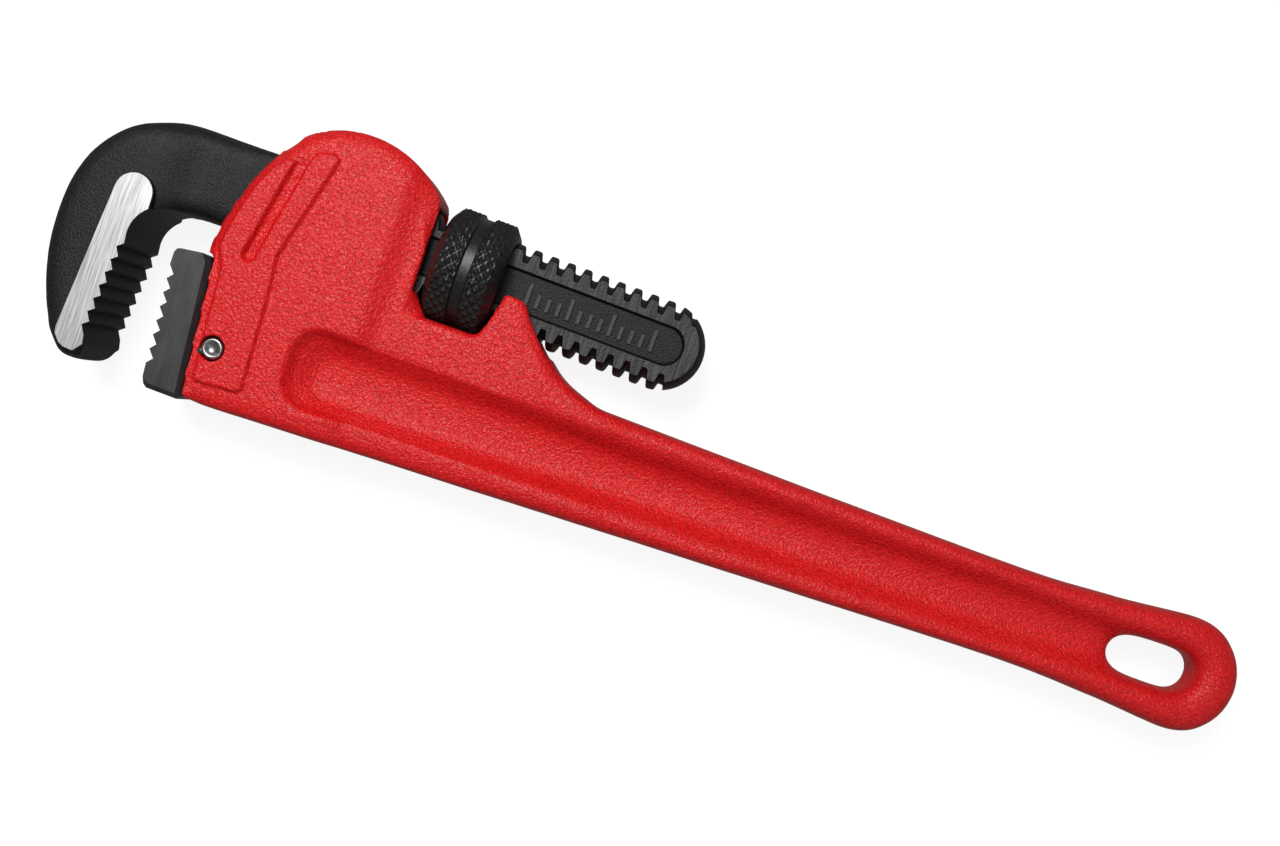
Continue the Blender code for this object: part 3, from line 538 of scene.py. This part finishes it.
GROUND_LEVEL = BOSS_HALF - 0.06
SILVER = [(0.36, 0.36, 0.36, 1), (0.68, 0.68, 0.67, 1)]
FLAT_GREY = [(0.016, 0.016, 0.016, 1), (0.070, 0.070, 0.070, 1)]
TICK_GREY = (0.050, 0.050, 0.050, 1)
# Near black painted shade for the walls of the sunk panel and the feet of its ticks
PANEL_SHADE = (0.0015, 0.0015, 0.0015, 1)


def screw_thread(root, crest, start, turns, steps):
    """A right-handed thread with rounded crests and roots along X, wound from one pitch."""
    shape = [(0, root), (0.45, root), (0.72, root + 0.22), (1.10, crest - 0.42), (1.30, crest - 0.10),
             (1.58, crest), (PITCH - 1.58, crest), (PITCH - 1.30, crest - 0.10),
             (PITCH - 1.10, crest - 0.42), (PITCH - 0.72, root + 0.22), (PITCH - 0.45, root),
             (PITCH, root)]
    bm = bmesh.new()
    verts = [bm.verts.new((start + x, radius, 0)) for x, radius in shape]
    edges = [bm.edges.new(pair) for pair in zip(verts, verts[1:])]
    bmesh.ops.spin(bm, geom=verts + edges, cent=(0, 0, 0), axis=(1, 0, 0), angle=2 * math.pi * turns,
                   dvec=(PITCH / steps, 0, 0), steps=steps * turns, use_merge=False)
    bmesh.ops.remove_doubles(bm, verts=bm.verts, dist=1e-4)
    bmesh.ops.holes_fill(bm, edges=[e for e in bm.edges if e.is_boundary], sides=0)
    bmesh.ops.triangulate(bm, faces=[f for f in bm.faces if len(f.verts) > 4])
    bmesh.ops.recalc_face_normals(bm, faces=bm.faces)
    return bm


def arc(centre, radius, start, end, steps):
    """Points of a circular arc, angles in degrees."""
    angles = [math.radians(start + (end - start) * i / steps) for i in range(steps + 1)]
    return [(centre[0] + radius * math.cos(a), centre[1] + radius * math.sin(a)) for a in angles]


def add_math(nodes, links, operation, *inputs):
    """A sum for a mask: numbers are set on its sockets, and other nodes' outputs are linked."""
    node = nodes.new("ShaderNodeMath")
    node.operation = operation
    for socket, value in zip(node.inputs, inputs):
        if isinstance(value, (int, float)):
            socket.default_value = value
        else:
            links.new(value, socket)
    return node.outputs["Value"]


head_shape = slab(HEAD_BACK + HEAD_FRONT, -HEAD_HALF, HEAD_HALF)
back_points = {(round(x, 3), round(y, 3)) for x, y in HEAD_BACK}
back_rims = [e for e in head_shape.edges if abs(e.verts[0].co.z - e.verts[1].co.z) < 0.1
             and all((round(v.co.x, 3), round(v.co.y, 3)) in back_points for v in e.verts)]
ease(head_shape, back_rims, 4.0, 4)
hook = new_piece("hook_jaw_forging", head_shape, WRENCH)
for vert in hook.data.vertices:
    p = (vert.co - ORIGIN) * 1000
    p.z *= 1 - (1 - NECK_HALF / HEAD_HALF) * step_up(p.x, *HEAD_FLARE)
    vert.co = p * 0.001 + ORIGIN
work(hook, new_piece("neck", slab(NECK, -NECK_HALF, NECK_HALF), SHANK), "UNION")
knead(hook, FORGING_SIZE)
hook_skin = bmesh.new()
hook_skin.from_mesh(hook.data)
rub(hook_skin, 50, lambda p: -72 < p.x < -44)
rub(hook_skin, 24, lambda p: p.y > -9 and (p.x <= -70 or p.y > 38))
for vert in hook_skin.verts:
    p = (vert.co - ORIGIN) * 1000
    if p.x > -64:
        reach = NECK_REACH + NECK_FLARE * max(NECK_FROM - p.x, 0)
        p.z = min(max(p.z, -reach), reach)
        vert.co = p * 0.001 + ORIGIN
rub(hook_skin, 14, lambda p: -67 < p.x < -50)
rub(hook_skin, 8, lambda p: True)
hook_skin.to_mesh(hook.data)
hook_skin.free()

boss_shape = slab(arc(BOSS_TOP, BOSS_ROUND, 0, 178, 14) + BOSS_SIDES, -BOSS_HALF, BOSS_HALF)
ease(boss_shape, [e for e in boss_shape.edges if abs(e.verts[0].co.z - e.verts[1].co.z) < 0.1], 0.3, 1)
work(hook, new_piece("boss", boss_shape, WRENCH), "UNION")
bite = arc(THROAT_CENTRE, THROAT_RADIUS, 97.5, 180, 20)
bite += saw_line(*BITE_TIPS, BITE_TEETH, -TOOTH_DEPTH, 0.38)
bite += [(-67.9, -11.4), (-69.3, -15.2), (-70.0, -17.0), (-70.0, -30), (-45, -30), (-45, 25.3)]
work(hook, new_piece("bite", slab(bite, -20, 20), WRENCH), "DIFFERENCE")
plain = slab(PLAIN_SHANK, -SHANK_FLAT + 0.05, SHANK_FLAT - 0.05)
work(hook, new_piece("plain_shank", plain, SHANK), "UNION")

shank = new_piece("shank", screw_thread(THREAD_ROOT, THREAD_CREST, -6 * PITCH, 24, 48), SHANK)
flats = slab([(THREAD_FROM, -20), (90, -20), (90, 20), (THREAD_FROM, 20)], -SHANK_FLAT, SHANK_FLAT)
dome = [(0, -22), (THREAD_CREST + 1, -22), (THREAD_CREST + 1, SHANK_END)]
dome += [(THREAD_CREST * math.cos(a), SHANK_END + THREAD_CREST * math.sin(a))
         for a in (math.radians(4 + 6 * i) for i in range(15))]
dome += [(0, SHANK_END + THREAD_CREST)]
bar = new_piece("bar", flats, SHANK)
work(bar, new_piece("dome", turn(dome, 64, "X"), SHANK), "INTERSECT")
work(shank, bar, "INTERSECT")
work(hook, shank, "UNION")

panel = arc((59.0, 0), PANEL_HALF, -90, 90, 16) + arc((-6.0, 0), PANEL_HALF, 90, 270, 16)
for low, high in ((PANEL_FLOOR, 9), (-9, -PANEL_FLOOR)):
    panel_cut = slab(panel, low, high)
    mouth = [v for v in panel_cut.verts if abs(v.co.z) > 8.9]
    bmesh.ops.scale(panel_cut, verts=mouth, vec=PANEL_DRAFT,
                    space=Matrix.Translation((-PANEL_MIDDLE, 0, 0)))
    work(hook, new_piece("panel", panel_cut, SHANK), "DIFFERENCE")
ticks = bmesh.new()
for i in range(TICK_COUNT):
    half = 2.6 if i % 4 == 0 else 1.6
    for side in (-1, 1):
        grown = bmesh.ops.create_cube(ticks, size=1)["verts"]
        bmesh.ops.scale(ticks, verts=grown, vec=(TICK_SIZE[0], 2 * half, TICK_SIZE[1]))
        bmesh.ops.translate(ticks, verts=grown,
                            vec=(TICK_FROM + TICK_PITCH * i, half + TICK_FOOT, side * TICK_MIDDLE))
work(hook, new_piece("ticks", ticks, SHANK), "UNION")
finish_smooth(hook, 32)

forged, nodes, links, skin = new_metal("black_forging", [(0.003, 0.003, 0.0033, 1),
                                                        (0.017, 0.017, 0.018, 1)],
                                       0.48, 0.2, 2100, (1, 1, 1), 0.00020)
place = nodes.new("ShaderNodeTexCoord").outputs["Object"]
parts = nodes.new("ShaderNodeSeparateXYZ")
links.new(place, parts.inputs["Vector"])
level = add_math(nodes, links, "SUBTRACT", parts.outputs["Z"], ORIGIN.z)
away = add_math(nodes, links, "ABSOLUTE", level)
ground = add_math(nodes, links, "GREATER_THAN", away, GROUND_LEVEL * 0.001)
rough = add_math(nodes, links, "SUBTRACT", 1, ground)
forged_grain = add_math(nodes, links, "MULTIPLY", skin.outputs["Grain"], rough)
links.new(forged_grain, nodes["Bump"].inputs["Height"])
flat = add_math(nodes, links, "COMPARE", away, SHANK_FLAT * 0.001, 0.00003)
past_neck = add_math(nodes, links, "GREATER_THAN", parts.outputs["X"], ORIGIN.x + THREAD_FROM * 0.001)
brushed = add_math(nodes, links, "MULTIPLY", flat, past_neck)
# Painted shade: a band at the height of the panel's walls, past the neck, is painted near black for the
# shade in the sunk panel and at the ticks' feet
foot = add_math(nodes, links, "COMPARE", away, (PANEL_FLOOR + 0.58) * 0.001, 0.00055)
panel_shade_mask = add_math(nodes, links, "MULTIPLY", foot, past_neck)
crest = add_math(nodes, links, "COMPARE", away, TICK_TOP * 0.001, 0.00003)
strokes = nodes.new("ShaderNodeGroup")
strokes.node_tree = steel_skin
strokes.inputs["Size"].default_value = 2600
strokes.inputs["Stretch"].default_value = (1, 0.04, 1)
links.new(place, strokes.inputs["Place"])
bright = add_mix(nodes, links, strokes.outputs["Patches"], *SILVER)
black = nodes["Principled BSDF"].inputs["Base Color"].links[0].from_socket
grey = add_mix(nodes, links, strokes.outputs["Patches"], *FLAT_GREY)
dark = add_mix(nodes, links, brushed, black, grey)
with_panel_shade = add_mix(nodes, links, panel_shade_mask, dark, PANEL_SHADE)
ticked = add_mix(nodes, links, crest, with_panel_shade, TICK_GREY)
links.new(add_mix(nodes, links, ground, ticked, bright), nodes["Principled BSDF"].inputs["Base Color"])
for socket, dull, shiny in (("Metallic", 0.2, 0.75), ("Roughness", 0.50, 0.38)):
    blend = nodes.new("ShaderNodeMapRange")
    blend.inputs["To Min"].default_value = dull
    blend.inputs["To Max"].default_value = shiny
    links.new(ground, blend.inputs["Value"])
    links.new(blend.outputs["Result"], nodes["Principled BSDF"].inputs[socket])
nodes["Principled BSDF"].inputs["Specular IOR Level"].default_value = 0.28
hook.data.materials.clear()
hook.data.materials.append(forged)
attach(hook, "jaw")
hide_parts("hook_jaw")

# Adjusting nut: turned from bar, with two bands of diamond knurl either side of a smooth groove,
# chamfered ends and a thread that fits the shank's loosely.  Blackened and oiled.
NUT_FRONT = 1.9
NUT_LENGTH = 16.4
NUT_RADIUS = 14.4
KNURLS = 32
KNURL_PITCH = 2.35
KNURL_DEPTH = 0.62
NUT_GROOVE = (8.6, 11.6)
KNURL_BANDS = [(3.2, 8.3), (11.9, 17.0)]
NUT_BLACK = [(0.006, 0.006, 0.006, 1), (0.022, 0.022, 0.022, 1)]


def knurl_depth(x, angle):
    """How far the knurling tool's crossed grooves cut at a place on the rim."""
    inside = max(min(x - low, high - x) for low, high in KNURL_BANDS)
    if inside < -0.6:
        return 0
    turn_share = angle * KNURLS / (2 * math.pi)
    nearest = 1
    for diagonal in (turn_share + x / KNURL_PITCH, turn_share - x / KNURL_PITCH):
        nearest = min(nearest, abs(diagonal - round(diagonal)) * 2)
    return KNURL_DEPTH * (1 - min(nearest * 1.25, 1)) * step_up(inside, -0.6, 0.3)


nut_profile = [(0, NUT_FRONT), (11.6, NUT_FRONT), (12.0, NUT_FRONT + 0.15), (13.9, NUT_FRONT + 1.5)]
rim_steps = 56
for i in range(rim_steps + 1):
    x = NUT_FRONT + 1.9 + (NUT_LENGTH - 3.8) * i / rim_steps
    sunk = step_up(min(x - NUT_GROOVE[0], NUT_GROOVE[1] - x), -0.15, 0.35)
    nut_profile.append((NUT_RADIUS - 0.85 * sunk, x))
rear = NUT_FRONT + NUT_LENGTH
nut_profile += [(13.9, rear - 1.5), (12.0, rear - 0.15), (11.6, rear), (0, rear)]
nut_shape = turn(nut_profile, KNURLS * 8, "X")
for vert in nut_shape.verts:
    radius = vert.co.yz.length
    if radius > 13.0:
        cut = knurl_depth(vert.co.x, math.atan2(vert.co.z, vert.co.y))
        vert.co.yz *= (radius - cut) / radius
nut = new_piece("knurled_nut", nut_shape, SHANK)
nut_bore = screw_thread(THREAD_ROOT + 0.4, THREAD_CREST + 0.4, -2 * PITCH, 9, 48)
work(nut, new_piece("nut_bore", nut_bore, SHANK), "DIFFERENCE")
finish_smooth(nut, 28)
nut_metal = new_metal("nut_steel", NUT_BLACK, 0.36, 0.35, 1500, (1, 1, 1), 0.00003)[0]
nut.data.materials.append(nut_metal)
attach(nut, "nut")
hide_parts("adjusting_nut")

# Spring set under the shank: a bowed leaf of tempered strip, the rivet through it and a coil of
# round wire in its pocket.  All three stay as the working parts are.
spring_metal = new_metal("spring_steel", [(0.12, 0.13, 0.15, 1), (0.24, 0.25, 0.27, 1)], 0.30, 1.0,
                         900, (0.2, 1, 1), 0.00002)[0]
rivet_metal = new_metal("rivet_steel", [(0.25, 0.25, 0.25, 1), (0.40, 0.40, 0.40, 1)], 0.35, 1.0,
                        900, (1, 1, 1), 0.00002)[0]
for node, metal in (("leaf_spring", spring_metal), ("coil_spring", spring_metal),
                    ("spring_rivet", rivet_metal)):
    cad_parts[node].data.materials.clear()
    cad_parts[node].data.materials.append(metal)

# Camera, floor and light: the wrench lies flat on a white table and is seen from straight above,
# with its handle falling away to the lower right.  The table is bright by itself and throws no
# light on the wrench, so that its lower edges stay dark.
HANDLE_FALL = math.radians(19.15)
camera_data = bpy.data.cameras.new("camera")
camera_data.sensor_width = 36
camera_data.lens = 37.66
camera = bpy.data.objects.new("camera", camera_data)
camera.location = (-0.0038, -0.0070, 0.3344)
camera.rotation_euler = (0, 0, HANDLE_FALL)
bpy.context.scene.collection.objects.link(camera)
bpy.context.scene.camera = camera

floor_mesh = bmesh.new()
bmesh.ops.create_grid(floor_mesh, x_segments=1, y_segments=1, size=3)
floor_data = bpy.data.meshes.new("floor")
floor_mesh.to_mesh(floor_data)
floor_mesh.free()
floor = bpy.data.objects.new("floor", floor_data)
bpy.context.scene.collection.objects.link(floor)
floor_paint = bpy.data.materials.new("white_table")
floor_paint.use_nodes = True
floor_shader = floor_paint.node_tree.nodes["Principled BSDF"]
floor_shader.inputs["Base Color"].default_value = (0.20, 0.20, 0.20, 1)
floor_shader.inputs["Roughness"].default_value = 0.9
floor_shader.inputs["Specular IOR Level"].default_value = 0.1
floor_shader.inputs["Emission Color"].default_value = (1, 1, 1, 1)
floor_shader.inputs["Emission Strength"].default_value = 0.88
floor_data.materials.append(floor_paint)
floor.visible_diffuse = False
floor.visible_glossy = False


def soft_light(name, place, size, power):
    """A square area light that faces the middle of the wrench."""
    data = bpy.data.lights.new(name, "AREA")
    data.size = size
    data.energy = power
    lamp = bpy.data.objects.new(name, data)
    lamp.location = place
    lamp.rotation_euler = (-Vector(place)).to_track_quat("-Z", "Y").to_euler()
    bpy.context.scene.collection.objects.link(lamp)


# A soft key light high over the jaws, a broad one overhead, a weak fill beyond the handle's end,
# and an even white sky
soft_light("key", (-0.22, 0.26, 0.62), 0.30, 3.9)
soft_light("overhead", (-0.10, 0.12, 0.95), 0.5, 1.2)
soft_light("fill", (0.8, -0.5, 0.9), 0.9, 1.2)
sky = bpy.data.worlds.new("sky")
sky.use_nodes = True
sky.node_tree.nodes["Background"].inputs["Color"].default_value = (1, 1, 1, 1)
sky.node_tree.nodes["Background"].inputs["Strength"].default_value = 0.22
bpy.context.scene.world = sky
bpy.context.scene.view_settings.view_transform = "Standard"
